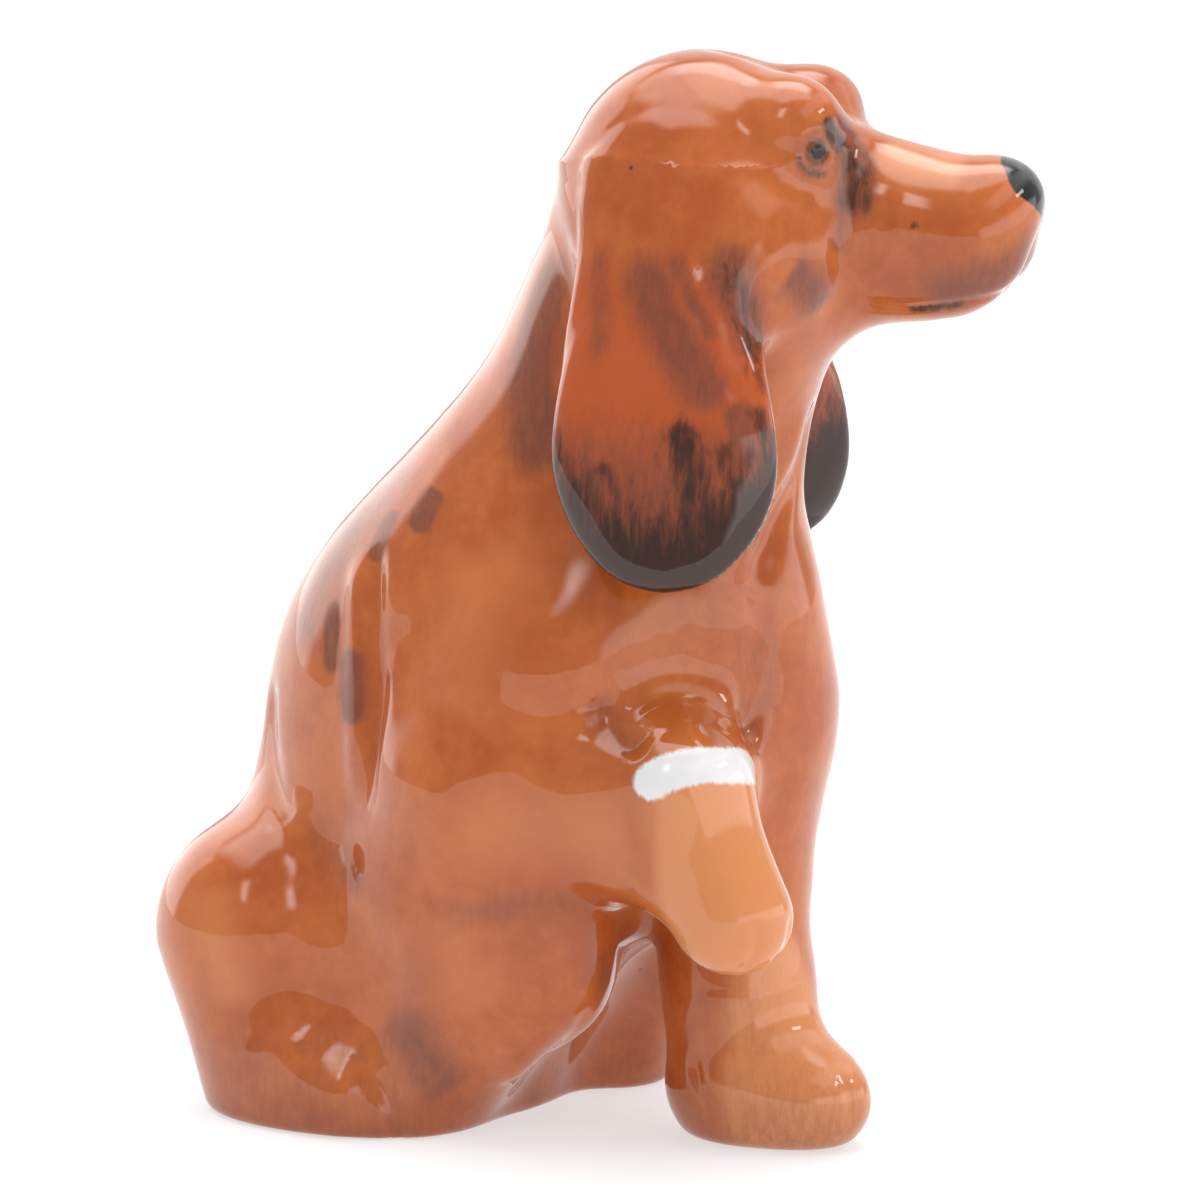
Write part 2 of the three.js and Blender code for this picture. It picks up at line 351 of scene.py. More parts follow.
# (height in mm, stroke); a height below 0 is a groove
RELIEF = [
    # folds of the flank, behind the upper arm
    (-0.50, Stroke(0.8, (-8.6, -4.6, 35.5), (-10.3, -4.0, 31), (-11.0, -3.3, 26), (-12.0, -2.9, 18.5))),
    (0.28, Stroke(0.9, (-8.2, -6.2, 35.0), (-9.9, -5.6, 31), (-10.4, -5.1, 26), (-11.4, -4.9, 18.8))),
    (-0.32, Stroke(1.0, (-5.5, -13.6, 26.0), (-6.5, -13.6, 22.6), (-9.0, -11.8, 19.0),
                   (-11.1, -8.7, 16.6))),
    # throat and breast
    (-0.50, Stroke(0.9, (2.6, 19.2, 44.5), (1.4, 18.5, 40.5), (-1.7, 18.3, 37.3), (-4.2, 18.0, 33.0))),
    (0.30, Stroke(1.0, (0.4, 19.5, 44.5), (-0.8, 18.3, 40.5), (-3.6, 17.6, 37.3), (-5.8, 16.8, 33.0))),
    (-0.42, Stroke(1.0, (-3.6, 18.0, 35.2), (-4.0, 18.8, 30.6), (-4.6, 18.6, 27.0),
                   (-6.2, 17.6, 23.5))),
    # haunch: the valley between buttock and thigh, and the rim of the hock
    (-0.95, Stroke(2.6, (-9.6, -9.6, 18.6), (-12.4, -6.0, 15.2), (-13.4, -3.0, 11.6),
                   (-12.8, 0.6, 7.0))),
    (-0.95, Stroke(2.6, (9.6, -9.6, 18.6), (12.4, -6.0, 15.2), (13.4, -3.0, 11.6), (12.8, 0.6, 7.0))),
    (0.55, Stroke(1.9, (-13.4, -9.6, 6.6), (-13.8, -7.6, 4.6), (-14.0, -5.4, 3.2), (-13.4, -2.6, 2.6))),
    (0.75, Stroke(1.9, (13.4, -5.6, 6.6), (13.8, -3.6, 4.6), (14.0, -1.4, 3.2), (13.4, 1.4, 2.6))),
    (-0.30, Stroke(1.9, (-14.2, -12.4, 8.2), (-14.0, -8.6, 8.4), (-14.2, -4.6, 6.4))),
    (-0.30, Stroke(0.5, (-13.0, -1.9, 3.6), (-12.4, -1.4, 1.8), (-12.2, -1.4, 0.2), blunt=True)),
    # front edge of the near shank and the fold behind it
    (0.45, Stroke(0.9, (-10.6, 8.8, 9.8), (-9.8, 6.6, 6.6), (-8.6, 3.6, 3.0))),
    (-0.35, Stroke(0.9, (-8.6, 9.8, 9.6), (-7.6, 6.6, 6.0), (-6.0, 3.2, 2.6))),
    # forearm: the crease under it, and the crescent between it and the breast
    (-0.20, Stroke(1.8, (-12.2, -0.5, 15.0), (-12.4, 4.5, 15.6), (-10.8, 9.5, 16.8),
                   (-8.0, 11.6, 16.2))),
    (-0.42, Stroke(0.9, (-11.0, 11.4, 28.2), (-11.5, 12.4, 26.6), (-12.4, 14.2, 25.6),
                   (-12.4, 16.4, 25.7))),
    # wrist band's lower edge
    (0.16, Stroke(1.2, (-12.9, 16.4, 23.9), (-11.6, 18.6, 24.5), (-10.0, 19.6, 24.3), blunt=True)),
    # standing paw: the heel's edge and two soft toe lines
    (-0.20, Stroke(0.45, (-4.6, 14.6, 6.0), (-5.0, 15.6, 3.2), (-4.4, 17.6, 1.2))),
    (-0.16, Stroke(0.45, (-1.9, 22.2, 5.2), (-2.1, 23.6, 3.2), (-2.1, 23.9, 1.2))),
    (-0.16, Stroke(0.45, (0.5, 22.2, 5.2), (0.7, 23.6, 3.2), (0.7, 23.9, 1.2))),
    # raised paw: toe lines
    (-0.14, Stroke(0.4, (-11.6, 22.6, 16.0), (-11.4, 22.2, 13.6), (-11.0, 21.0, 12.4))),
    (-0.14, Stroke(0.4, (-9.0, 23.4, 16.0), (-9.0, 23.0, 13.6), (-9.0, 21.6, 12.2))),
    # head: furrow of the brow, philtrum
    (-0.34, Stroke(0.9, *on_head((0, 8.6, 3.4), (0, 6.4, 6.2), (0, 3.0, 7.6), (0, -1.6, 8.0)))),
    (-0.20, Stroke(0.35, *on_head((0, 19.0, -1.0), (0, 18.6, -2.6), (0, 17.9, -4.6)), blunt=True)),
]
for side in (-1, 1):
    RELIEF += [
        # lip line and the corner of the mouth
        (-0.13, Stroke(0.45, *on_head((0, 17.9, -5.3), (side * 1.9, 17.3, -5.5),
                       (side * 3.2, 15.2, -6.0),
                                     (side * 3.3, 12.0, -6.6), (side * 3.6, 9.6, -6.6)), blunt=True)),
        # the cheek's edge before the ear, and the hollow under the eye
        (-0.12, Stroke(2.0, *on_head((side * 6.6, 7.6, 0.2), (side * 5.2, 9.6, -0.8),
                                     (side * 4.2, 11.6, -1.4)))),
        (0.12, Stroke(1.8, *on_head((side * 7.6, 4.2, -2.6), (side * 7.0, 6.8, -4.4),
                                    (side * 5.2, 8.6, -6.0)))),
        # the nose pad's rim
        (0.08, Stroke(0.6, *on_head((side * 0.7, 18.4, 1.2), (side * 1.8, 17.6, 1.0),
                                    (side * 2.1, 16.8, 0.2)))),
        # the ear: a hollow down its face and a fold before it
        (-0.30, Stroke(2.0, *on_head((side * 10.6, -3.4, -4.0), (side * 11.6, -2.6, -9.0),
                                     (side * 12.0, -1.8, -14.5)))),
        (0.22, Stroke(1.6, *on_head((side * 9.6, 1.0, -3.0), (side * 11.0, 2.0, -6.5),
                                    (side * 11.6, 2.6, -12.0)))),
    ]


# The lids, the eyeball and the groove between them: (height, distance from the eye's middle, width).
EYE_RINGS = [(0.05, 1.35, 0.45), (0.20, 0.0, 0.78), (-0.06, 0.98, 0.20)]
EYE_REACH = 4


def eye_relief(p):
    height = np.zeros(len(p))
    for eye in EYES:
        gap = np.sqrt(((p - eye) ** 2).sum(1))
        near = gap < EYE_REACH
        for tall, away, wide in EYE_RINGS:
            height[near] += tall * np.exp(-(((gap[near] - away) / wide) ** 2))
    return height


# Slow unevenness left by the modeller's fingers and the thick glaze: (radians per mm, phase, height).
rng = np.random.default_rng(17)
WAVES = [(rng.normal(size=3) * 0.33, rng.uniform(0, 6.28), 0.030) for _ in range(7)]
WAVES += [(rng.normal(size=3) * 1.0, rng.uniform(0, 6.28), 0.0025) for _ in range(9)]


def relief(p):
    height = eye_relief(p)
    for tall, stroke in RELIEF:
        height += tall * stroke.strength(p)
    for wave, phase, tall in WAVES:
        height += tall * np.sin(p @ wave + phase)
    return height


VENT = limb((0, -6, -1), 1.5, (0, -6, 5), 1.5)
BASE_EDGE = 0.7


def dog(p):
    """The finished skin, its base ground flat with a rounded edge, and the vent in it."""
    skin = smooth_dog(p) - relief(p)
    standing = -melted_pair(-skin, p[:, 2], BASE_EDGE)
    return np.maximum(standing, -VENT(p))


# ---- The skin's mesh ------------------------------------------------------------------------------


def outward(p, form, reach=0.04):
    """The form's unit gradient, and its steepness."""
    slope = np.stack([form(p + step) - form(p - step) for step in np.eye(3) * reach], 1)
    steep = np.sqrt((slope * slope).sum(1))
    return slope / np.maximum(steep, 1e-9)[:, None], steep / (2 * reach)


def in_chunks(form, p, size=400000):
    return np.concatenate([form(p[n : n + size]) for n in range(0, len(p), size)])


def skin_mesh(form, low, high, cell):
    """Points and quads on the form's surface.

    The form is worked out on a coarse grid of blocks, then on a fine one near the surface and
    in the layer that holds the flat base. The points are drawn onto the surface at the end.
    """
    blocks = np.ceil((np.array(high) - low) / (BLOCK * cell)).astype(int)
    corners = np.stack(np.meshgrid(*map(np.arange, blocks), indexing="ij"), -1)
    centres = (corners + 0.5) * BLOCK * cell + low
    rough = in_chunks(smooth_dog, centres.reshape(-1, 3)).reshape(blocks)
    far = rough.repeat(BLOCK, 0).repeat(BLOCK, 1).repeat(BLOCK, 2)
    band = 3 * cell
    values = np.clip(far, -band, band).astype(np.float32)
    levels = np.arange(far.shape[2]) * cell + low[2]
    near = np.argwhere((np.abs(far) < 5 * cell) | (levels < BASE_LAYER))
    values[tuple(near.T)] = in_chunks(form, near * cell + low)
    grid = openvdb.FloatGrid(band)
    grid.copyFromArray(values)
    grid.transform = openvdb.createLinearTransform(voxelSize=cell)
    points, quads = grid.convertToQuads(0.0)
    points = points.astype(float) + low
    for _ in range(3):
        slope, steep = outward(points, form)
        step = np.clip(form(points) / np.maximum(steep, LEAST_STEEP), -MOST_STEP, MOST_STEP)
        points -= slope * step[:, None]
    return points, quads[:, ::-1]


BLOCK = 4  # fine cells along a side of a coarse one
BASE_LAYER = 1.0
LEAST_STEEP, MOST_STEP = 0.4, 0.3
CELL = 0.3
SPACE_LOW, SPACE_HIGH = np.array([-18.0, -25.0, -1.2]), np.array([18.0, 36.0, 67.2])
points, quads = skin_mesh(dog, SPACE_LOW, SPACE_HIGH, CELL)
normals, _ = outward(points, dog)

# ---- Glaze paint, painted shade and painted highlights: how strongly each colour lies on each point, from 0 to 1 ---


def highest(p, *strokes):
    """The strongest of several strokes, each given as (amount, stroke)."""
    return np.maximum.reduce([amount * stroke.strength(p) for amount, stroke in strokes])


def mirrored(amount, width, *places, blunt=False):
    """One stroke on the head's right and the same on its left."""
    return [(amount, Stroke(width, *side, blunt=blunt)) for side in both_sides(*places)]


def shared(p, inner, outer, soft):
    """1 where the inner form claims the skin and 0 where the outer one does."""
    return ease(0.5 + (outer(p) - inner(p)) / (2 * soft))


DARK_AND_SHADE = [
    # ears: loose brush marks above the dark tips
    *mirrored(0.62, 0.8, (-10.4, 4.6, -10.8), (-10.7, 5.1, -13.4), (-10.8, 5.0, -16.0)),
    *mirrored(0.75, 0.8, (-11.6, -4.4, -14.4), (-11.8, -3.5, -16.1), (-11.6, -2.4, -18.1)),
    *mirrored(0.66, 0.7, (-11.3, -5.8, -15.4), (-11.2, -5.5, -16.9), (-11.1, -4.8, -18.3)),
    *mirrored(0.85, 1.3, (-11.8, 0.7, -13.3), (-11.8, 1.2, -15.6), (-11.4, 1.6, -18.6), blunt=True),
    *mirrored(0.70, 0.9, (-11.5, 3.0, -14.2), (-11.5, 2.9, -16.2), (-11.3, 2.3, -18.3), blunt=True),
    *mirrored(0.60, 0.6, (-11.9, -1.1, -15.1), (-11.9, -0.9, -16.9), (-11.6, -0.6, -18.7)),
    # painted shade along each ear's front edge
    *mirrored(0.50, 1.0, (-8.9, 2.1, -2.4), (-9.2, 3.0, -4.7), (-9.2, 3.9, -7.0), (-9.6, 4.5, -9.6),
              (-10.6, 4.8, -12.5)),
    # brow and lower lid
    *mirrored(1.05, 0.62, (-5.0, 7.4, 4.9), (-4.9, 7.9, 4.0), (-4.4, 8.4, 3.2), (-4.2, 8.6, 2.4)),
    *mirrored(0.72, 0.46, (-6.7, 6.0, 3.1), (-6.4, 6.3, 2.3), (-6.0, 6.7, 1.7), (-5.4, 7.5, 1.4),
              (-4.9, 7.9, 1.8)),
    *mirrored(0.62, 1.0, (-4.4, 8.3, 3.4), (-3.9, 9.0, 1.6), (-4.2, 9.1, 0.0), (-4.6, 8.9, -1.2)),
    # line of the mouth, and a fleck on the cheek
    *mirrored(0.84, 0.36, (-3.1, 11.6, -6.8), (-3.2, 13.7, -6.4), (-2.9, 16.0, -5.9)),
    *mirrored(0.85, 0.30, (-4.6, 12.7, -1.5)),
]
UMBER_AND_SHADE = [
    # flecks on the back
    (1.7, Stroke(1.0, (-8.7, -0.9, 38.9), (-8.8, -1.4, 37.3), (-9.0, -1.9, 35.8))),
    (1.5, Stroke(0.8, (-7.9, -4.0, 37.4), (-8.5, -4.5, 35.6), (-9.0, -4.8, 33.6))),
    (1.8, Stroke(0.8, (-9.1, -7.8, 30.6), (-9.2, -7.7, 29.4), (-9.7, -7.5, 28.0), blunt=True)),
    (1.6, Stroke(1.0, (-10.2, -5.8, 29.2), (-10.4, -5.4, 26.6), (-10.9, -5.2, 24.0))),
    (1.1, Stroke(1.0, (8.7, -0.9, 38.9), (8.8, -1.4, 37.3), (9.0, -1.9, 35.8))),
    (0.95, Stroke(0.8, (7.9, -5.0, 36.4), (8.7, -5.5, 34.6), (9.0, -5.8, 32.6))),
    (1.15, Stroke(0.8, (9.4, -4.8, 31.6), (9.8, -4.7, 30.4), (10.2, -4.5, 28.6))),
    (0.9, Stroke(0.9, (2.4, -8.6, 37.0), (2.8, -9.8, 34.4), (3.0, -10.9, 31.6))),
    # neck in the shadow behind the ear, both sides
    (1.25, Stroke(2.0, (-6.2, 6.4, 54.5), (-6.4, 5.5, 49.9), (-7.1, 4.9, 46.5), (-8.4, 6.0, 42.6),
                  (-9.2, 7.5, 39.0))),
    (0.92, Stroke(1.7, (6.2, 5.4, 54.5), (6.4, 4.5, 49.9), (7.1, 3.9, 46.5), (8.4, 5.0, 42.6),
                  (9.2, 6.5, 39.0))),
    # back, brushed downward
    (0.70, Stroke(2.6, (-5.4, -3.4, 43.0), (-6.6, -6.6, 37.6), (-7.2, -9.6, 31.6),
                  (-8.0, -11.4, 26.0))),
    (0.70, Stroke(2.6, (5.4, -3.4, 43.0), (6.6, -6.6, 37.6), (7.2, -9.6, 31.6), (8.0, -11.4, 26.0))),
    (0.60, Stroke(2.4, (0, -4.4, 44.0), (0, -9.6, 37.0), (0, -13.4, 29.0), (0, -15.6, 21.0))),
    # painted shade in the haunch valleys, the forearm crease, the armpit, the hock and shank, the
    # breast groove and under the raised paw
    (0.60, Stroke(1.5, (-10.4, -9.1, 18.4), (-11.8, -6.4, 16.8), (-13.2, -2.6, 14.4))),
    (0.55, Stroke(1.4, (-12.4, -1.0, 14.2), (-12.2, 4.5, 14.8), (-10.6, 9.5, 15.8),
                  (-8.0, 11.6, 15.8))),
    (0.70, Stroke(1.4, (-9.4, 8.8, 12.8), (-7.4, 10.8, 9.4), (-5.6, 11.6, 5.4))),
    (0.45, Stroke(1.7, (-14.0, -7.8, 7.2), (-14.0, -4.6, 5.6), (-13.6, -1.6, 5.4))),
    (0.85, Stroke(2.3, (-13.6, -1.4, 8.4), (-12.8, 0.6, 5.0), (-11.2, 2.6, 2.0))),
    (0.60, Stroke(1.5, (10.4, -7.1, 18.4), (11.8, -4.4, 16.8), (13.2, -0.6, 14.4))),
    (0.45, Stroke(2.0, (-4.2, 18.6, 32.0), (-4.8, 18.6, 28.0), (-5.6, 17.8, 24.0))),
    (0.40, Stroke(2.2, (-3.2, 16.6, 12.0), (-3.4, 17.0, 8.0), (-3.8, 18.0, 4.0))),
    # ears: the broad wash down the face, its firmer front edge, and the edges
    *mirrored(1.02, 1.6, (-8.7, -3.6, -2.3), (-9.4, -2.1, -4.5), (-10.0, -1.1, -6.4),
              (-10.8, 0.4, -8.6),
              (-11.3, 1.9, -10.6), (-11.3, 3.3, -12.6)),
    *mirrored(0.75, 0.8, (-9.1, -0.8, -2.2), (-9.6, 0.1, -4.4), (-10.2, 1.4, -6.5), (-10.6, 2.7, -8.4)),
    *mirrored(0.60, 0.9, (-8.2, -5.0, -1.9), (-8.7, -5.0, -4.7), (-9.8, -4.7, -7.4),
              (-10.8, -4.7, -10.2)),
    # painted shade along each ear's front edge, on the cheek under it
    *mirrored(1.10, 1.5, (-8.9, 2.1, -1.4), (-9.2, 3.0, -4.7), (-9.1, 3.9, -7.0), (-9.5, 4.5, -9.6)),
    *mirrored(1.10, 1.0, (-11.0, 3.5, -10.6), (-11.2, 4.0, -13.3), (-11.2, 4.2, -15.6)),
    # washes before the eye, on the cheek and on the lips
    *mirrored(0.85, 1.5, (-5.7, 7.4, 2.7)),
    *mirrored(1.70, 1.1, (-4.3, 7.8, 5.2), (-3.6, 8.5, 3.3), (-3.8, 9.1, 1.6), (-4.3, 9.0, -0.1),
              (-4.7, 8.5, -1.6)),
    *mirrored(0.60, 0.9, (-4.4, 8.9, -0.5), (-4.9, 8.5, -2.0), (-5.3, 8.3, -3.6)),
    *mirrored(1.00, 1.6, (-7.9, 5.8, -3.9), (-6.9, 6.9, -5.0), (-4.8, 7.5, -6.7)),
    *mirrored(0.95, 1.7, (-4.0, 11.6, -6.3), (-4.0, 15.3, -5.3), (-3.1, 17.4, -4.5),
              (-1.6, 18.6, -3.1), (0, 19.0, -2.6)),
    # painted shade in the hollow over the raised wrist
    (0.60, Stroke(0.9, (-11.0, 11.4, 28.2), (-11.5, 12.4, 26.6), (-12.4, 14.2, 25.6),
                  (-12.4, 16.4, 25.7))),
]
PEACH_AND_SHEEN = [
    # raised paw in peach glaze; then pale strokes on the forearm, shoulder, buttock, shank, standing
    # paw, muzzle and brow, which are painted highlights
    (1.0, Stroke(3.8, (-11.8, 19.4, 22.0), (-11.4, 21.2, 18.4), (-11.0, 21.6, 14.6),
                 (-10.4, 20.0, 12.4), blunt=True)),
    # painted highlights on the bulges from here on
    (0.40, Stroke(3.4, (-12.6, 1.6, 19.4), (-13.0, 7.6, 20.0), (-13.2, 12.6, 20.4),
                  (-12.9, 17.0, 20.4))),
    (0.30, Stroke(4.2, (-9.8, 5.0, 38.0), (-12.4, 5.0, 31.0), (-13.0, 4.0, 24.0))),
    (0.55, Stroke(2.4, (-14.6, -13.6, 15.6), (-14.6, -12.6, 11.0), (-14.4, -11.0, 6.0))),
    (0.32, Stroke(3.6, (-13.6, 2.4, 15.2), (-13.8, 3.4, 11.4), (-12.4, 5.4, 7.4))),
    (0.40, Stroke(1.6, (-3.6, 22.6, 5.2), (-3.2, 23.4, 3.4))),
    *mirrored(0.70, 2.4, (-2.0, 9.6, 3.2), (-2.2, 12.6, 1.8), (-1.8, 15.8, 1.2)),
    *mirrored(0.45, 2.6, (-3.8, 2.0, 7.2), (-5.6, -0.4, 6.0)),
]
BAND = Stroke(
    1.25, (-13.8, 15.2, 22.2), (-13.6, 16.1, 23.2), (-13.0, 17.6, 24.2), (-11.8, 19.2, 24.6),
    (-10.4, 20.0, 24.4),
    (-8.6, 20.0, 24.0), (-7.2, 19.0, 23.2), (-6.2, 17.4, 22.2),
)


def paint(p):
    """The amount of each glaze colour, painted shade and painted highlight on the points. h is a point
    in the head's own frame.
    """
    h = head_places(p)
    side = np.abs(h[:, 0])
    either_ear = np.minimum(CASTINGS["right_ear"](p), CASTINGS["left_ear"](p))
    ear = ease(0.5 + (np.minimum(CASTINGS["head"](p), CASTINGS["torso"](p)) - either_ear) / 1.6)
    ear *= ease((side - 6.0) / 2.0) * ease((1.0 - h[:, 2]) / 10.0) * (h[:, 2] > -25)
    tip_top = -13.2 + 0.10 * (h[:, 1] + 1) ** 2
    tip = ease((side - 7.0) / 2.0) * (ear > 0) * ease((tip_top - h[:, 2]) / 9.0)
    wide = 1.1 + 1.6 * ease((h[:, 2] + 2.2) / 2.8)
    pad = ((h[:, 0] / wide) ** 2 + ((h[:, 1] - 18.6) / 3.0) ** 2 + ((h[:, 2] - 0.3) / 2.1) ** 2) ** 0.5
    nose = ease((1.0 - pad) / 0.25 + 0.5)
    raised = shared(p, CASTINGS["raised_foreleg"], CASTINGS["torso"], 1.5)
    paw = ease((p[:, 1] - 15.6) / 2.6) * raised * ease((24.6 - p[:, 2]) / 1.2)
    # umber darker towards the base, over the lowest 9 mm
    low = ease((9.0 - p[:, 2]) / 9.0)
    # the left ear: painted shade, half-strength umber all over it
    left_ear = ear * (p[:, 0] > 0)
    lower_ear = ear * ease((-9.5 - h[:, 2]) / 7)
    return {
        "dark_and_shade": np.maximum(highest(p, *DARK_AND_SHADE), tip),
        "umber_and_shade": np.maximum.reduce([highest(p, *UMBER_AND_SHADE), 0.45 * low, 0.5 * left_ear, 0.8 * lower_ear]),
        "peach_and_sheen": np.maximum(highest(p, *PEACH_AND_SHEEN), paw),
        "ear": ear,
        "nose": nose,
        "band": BAND.strength(p) * raised,
    }


# ---- Pieces: the skin cut along the slip joints ---------------------------------------------------


def sides_of(quads, count):
    """Every quad's four directed sides as one number each, forward and reversed."""
    a, b = quads, np.roll(quads, -1, 1)
    return a.astype(np.int64) * count + b, b.astype(np.int64) * count + a


def neighbours(quads, count):
    """Pairs of quads that share a side."""
    forward, backward = sides_of(quads, count)
    owner = np.repeat(np.arange(len(quads)), 4)
    order = np.argsort(forward.ravel())
    keys = forward.ravel()[order]
    at = np.clip(np.searchsorted(keys, backward.ravel()), 0, len(keys) - 1)
    found = keys[at] == backward.ravel()
    return owner[found], owner[order][at[found]]


def regions(labels, a, b):
    """A number for each connected region of equal label."""
    same = labels[a] == labels[b]
    a, b = a[same], b[same]
    group = np.arange(len(labels))
    while True:
        least = group.copy()
        np.minimum.at(least, a, group[b])
        least = least[least]
        if (least == group).all():
            return group
        group = least


SMALL_ISLAND = 0.02  # of an average casting's quads


def casting_labels(quads, points):
    """Which casting each quad belongs to. A small island joins the casting round it."""
    centres = points[quads].mean(1)
    labels = np.argmin([form(centres) for form in CASTINGS.values()], 0)
    a, b = neighbours(quads, len(points))
    for _ in range(2):
        group = regions(labels, a, b)
        size = np.bincount(group, minlength=len(labels))[group]
        small = size < SMALL_ISLAND * len(labels) / len(CASTINGS)
        for one in np.unique(group[small]):
            edge = (group[a] == one) & (group[b] != one)
            if edge.any():
                labels[group == one] = np.bincount(labels[b[edge]]).argmax()
    return labels


def open_rims(quads, count):
    """The directed sides that no other quad of the piece shares, as connected rims."""
    forward, backward = sides_of(quads, count)
    lone = forward[~np.isin(forward, backward)]
    rims = {}
    root = {}

    def find(v):
        while root.setdefault(v, v) != v:
            v = root[v]
        return v

    edges = [(int(side // count), int(side % count)) for side in lone]
    for a, b in edges:
        root[find(a)] = find(b)
    for a, b in edges:
        rims.setdefault(find(a), []).append((a, b))
    return list(rims.values())


def dog_to_frame(p):
    """From [left, forward, up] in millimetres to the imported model's metres."""
    middle = (CAD_BOX[0] + CAD_BOX[1]) / 2
    return np.stack([middle.x + p[:, 0] * MM, middle.y + (DOG_MIDDLE - p[:, 1]) * MM, p[:, 2] * MM], 1)


DOG_MIDDLE = 5.475
MASKS = paint(points)
LABELS = casting_labels(quads, points)
SLOTS = {
    "head": "head_glaze",
    "right_ear": "ear_glaze",
    "left_ear": "ear_glaze",
    "raised_foreleg": "paw_glaze",
}
APEX_DEPTH, APEX_STEPS, APEX_STEP = 3.2, 12, 0.6
APEX_LEAST_UP = 8  # over the vent's top


def inside(place):
    """A place well under the skin near this one."""
    place = place[None]
    for _ in range(APEX_STEPS):
        slope, _ = outward(place, smooth_dog)
        step = np.clip(smooth_dog(place) + APEX_DEPTH, 0, APEX_STEP)
        place = place - slope * step[:, None]
    return np.maximum(place[0], (-np.inf, -np.inf, APEX_LEAST_UP))


def piece(casting, mine):
    """One casting's skin, closed inside the body by a cone on each open rim."""
    rims = open_rims(mine, len(points))
    used = np.unique(mine)
    number = np.full(len(points), -1)
    number[used] = np.arange(len(used))
    tops, caps = [], []
    for rim in rims:
        tops.append(inside(points[[a for a, _ in rim]].mean(0)))
        apex = len(used) + len(tops) - 1
        caps += [(int(number[b]), int(number[a]), apex) for a, b in rim]
    places = np.vstack([points[used], *[top[None] for top in tops]])
    shape = bpy.data.meshes.new(casting + "_skin")
    shape.from_pydata(dog_to_frame(places).tolist(), [], number[mine].tolist() + caps)
    shape.validate()
    shape.update()
    # the skin is shaded by the form's own slope, a hidden cone by its flat faces
    loops = np.zeros((len(shape.loops), 3))
    corner = np.zeros(len(shape.loops), int)
    shape.loops.foreach_get("vertex_index", corner)
    slope = normals[used] * (1, -1, 1)
    skin_loops = 4 * len(mine)
    loops[:skin_loops] = slope[corner[:skin_loops]]
    for face in shape.polygons[len(mine):]:
        loops[list(face.loop_indices)] = face.normal
    shape.polygons.foreach_set("use_smooth", np.ones(len(shape.polygons), bool))
    shape.normals_split_custom_set(loops.tolist())
    for name, mask in MASKS.items():
        values = np.concatenate([mask[used], np.zeros(len(tops))]).astype(np.float32)
        shape.attributes.new(name, "FLOAT", "POINT").data.foreach_set("value", values)
    made = bpy.data.objects.new(casting + "_skin", shape)
    bpy.context.scene.collection.objects.link(made)
    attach(made, "root")
    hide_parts(casting)
    return made


# ---- Glaze ----------------------------------------------------------------------------------------

TAN = (0.50, 0.128, 0.027)
TAN_DEEP = (0.39, 0.078, 0.012)
# the peach colour also serves for the painted highlights
PEACH_GLAZE = (0.66, 0.250, 0.090)
UMBER_GLAZE = (0.180, 0.048, 0.024)
EAR_RED = (0.44, 0.074, 0.014)
DARK_GLAZE = (0.024, 0.009, 0.006)
NOSE_BLACK = (0.010, 0.008, 0.008)
BAND_WHITE = (0.74, 0.73, 0.73)
EYE_BROWN = (0.14, 0.046, 0.020)
EYE_BLACK = (0.010, 0.006, 0.005)
IRIS_EDGE, PUPIL_EDGE = (1.00, 0.72), (0.60, 0.44)  # from clear to full, mm from the eye's middle


class Nodes:
    """Short calls for the nodes of one tree."""

    def __init__(self, tree):
        self.tree = tree

    def add(self, kind, inputs=(), out=0, **settings):
        made = self.tree.nodes.new(kind)
        for key, value in settings.items():
            setattr(made, key, value)
        for at, value in dict(inputs).items():
            if isinstance(value, bpy.types.NodeSocket):
                self.tree.links.new(value, made.inputs[at])
            else:
                made.inputs[at].default_value = value
        return made.outputs[out]

    def math(self, operation, a, b=0.0):
        return self.add("ShaderNodeMath", {0: a, 1: b}, operation=operation)

    def step(self, value, low, high, start=0.0, end=1.0):
        """A smooth step from start to end as the value goes from low to high."""
        inputs = {0: value, 1: low, 2: high, 3: start, 4: end}
        return self.add("ShaderNodeMapRange", inputs, interpolation_type="SMOOTHSTEP")

    def mix(self, amount, a, b):
        colour = [v if isinstance(v, bpy.types.NodeSocket) else (*v, 1) for v in (a, b)]
        inputs = {0: amount, 6: colour[0], 7: colour[1]}
        return self.add("ShaderNodeMix", inputs, out=2, data_type="RGBA")

    def noise(self, where, scale, detail=2.0, rough=0.5, twist=0.0):
        return self.add("ShaderNodeTexNoise", {"Vector": where, "Scale": scale, "Detail": detail,
                                               "Roughness": rough, "Distortion": twist})

    def scaled(self, where, factors):
        return self.add("ShaderNodeVectorMath", {0: where, 1: factors}, operation="MULTIPLY")

    def mask(self, name):
        return self.add("ShaderNodeAttribute", out="Fac", attribute_name=name)

    def brushed(self, name, grain, soft, amount, level=0.5):
        """A painted mask whose edge is broken by the grain."""
        shift = self.math("MULTIPLY", self.math("SUBTRACT", grain, 0.5), amount)
        moved = self.math("ADD", self.mask(name), shift)
        return self.step(moved, level - soft, level + soft)


